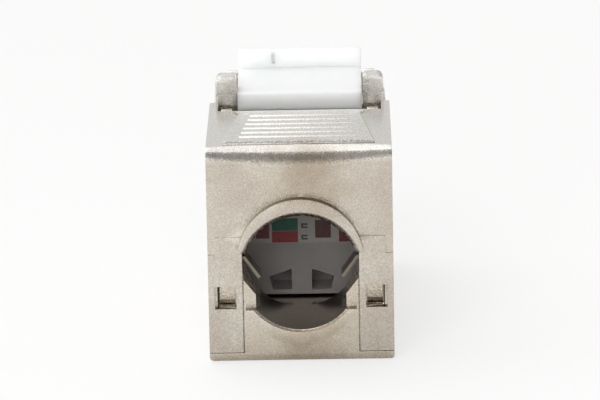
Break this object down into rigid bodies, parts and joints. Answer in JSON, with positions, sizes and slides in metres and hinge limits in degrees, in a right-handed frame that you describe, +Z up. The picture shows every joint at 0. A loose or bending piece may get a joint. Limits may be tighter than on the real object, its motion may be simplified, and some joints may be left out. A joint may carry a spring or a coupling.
{
  "type": "shielded keystone jack",
  "caption": "Shielded modular socket for a keystone panel: die-cast body, hinged cable cover with a round cable collar, plastic snap latch and a wire manager inside.",
  "frame": {"origin": "under the middle of the part, on the surface that it stands on", "axes": "+Y towards the socket end, -Y towards the cable end, +Z up towards the snap latch, +X across"},
  "size_m": [0.0168, 0.035, 0.0232],
  "materials": {
    "die_cast": "nickel-plated die-cast zinc, fine matt grain",
    "pin_steel": "plain steel",
    "spring_steel": "bright spring strip",
    "white_plastic": "moulded, satin",
    "dark_plastic": "moulded, satin",
    "board": "solder resist on glass board",
    "label": "printed fields of plain colour",
    "gold": "gold-plated wire",
    "tinned": "tinned bronze blade"
  },
  "bodies": {
    "housing": {"base_shell": "die_cast", "front_housing": "die_cast", "hinge_pin_left": "pin_steel", "hinge_pin_right": "pin_steel", "contact_carrier": "dark_plastic", "contact_1": "gold", "contact_2": "gold", "contact_3": "gold", "contact_4": "gold", "contact_5": "gold", "contact_6": "gold", "contact_7": "gold", "contact_8": "gold", "circuit_board": "board", "idc_block": "white_plastic", "idc_terminal_1": "tinned", "idc_terminal_2": "tinned", "idc_terminal_3": "tinned", "idc_terminal_4": "tinned", "idc_terminal_5": "tinned", "idc_terminal_6": "tinned", "idc_terminal_7": "tinned", "idc_terminal_8": "tinned", "shield_spring_left": "spring_steel", "shield_spring_right": "spring_steel", "ground_spring_left": "spring_steel", "ground_spring_right": "spring_steel"},
    "cover": {"upper_cover": "die_cast"},
    "latch": {"keystone_latch": "white_plastic"},
    "manager": {"wire_manager": "white_plastic", "wiring_label": "label"}
  },
  "joints": [
    {"name": "cover_hinge", "type": "hinge", "parent": "housing", "child": "cover", "pos_m": [0, -0.0001, 0.0182], "axis": [-1, 0, 0], "range_deg": [0, 90]},
    {"name": "latch_flex", "type": "hinge", "parent": "housing", "child": "latch", "pos_m": [0, 0.0161, 0.01895], "axis": [1, 0, 0], "range_deg": [0, 9], "stiffness_Nm_per_rad": 0.3, "springref_deg": -1.15},
    {"name": "manager_slide", "type": "slide", "parent": "housing", "child": "manager", "axis": [0, -1, 0], "range_m": [0, 0.0026]}
  ],
  "couplings": [
    {"joint": "manager_slide", "follows": "cover_hinge", "m_per_rad": 0.00165}
  ]
}
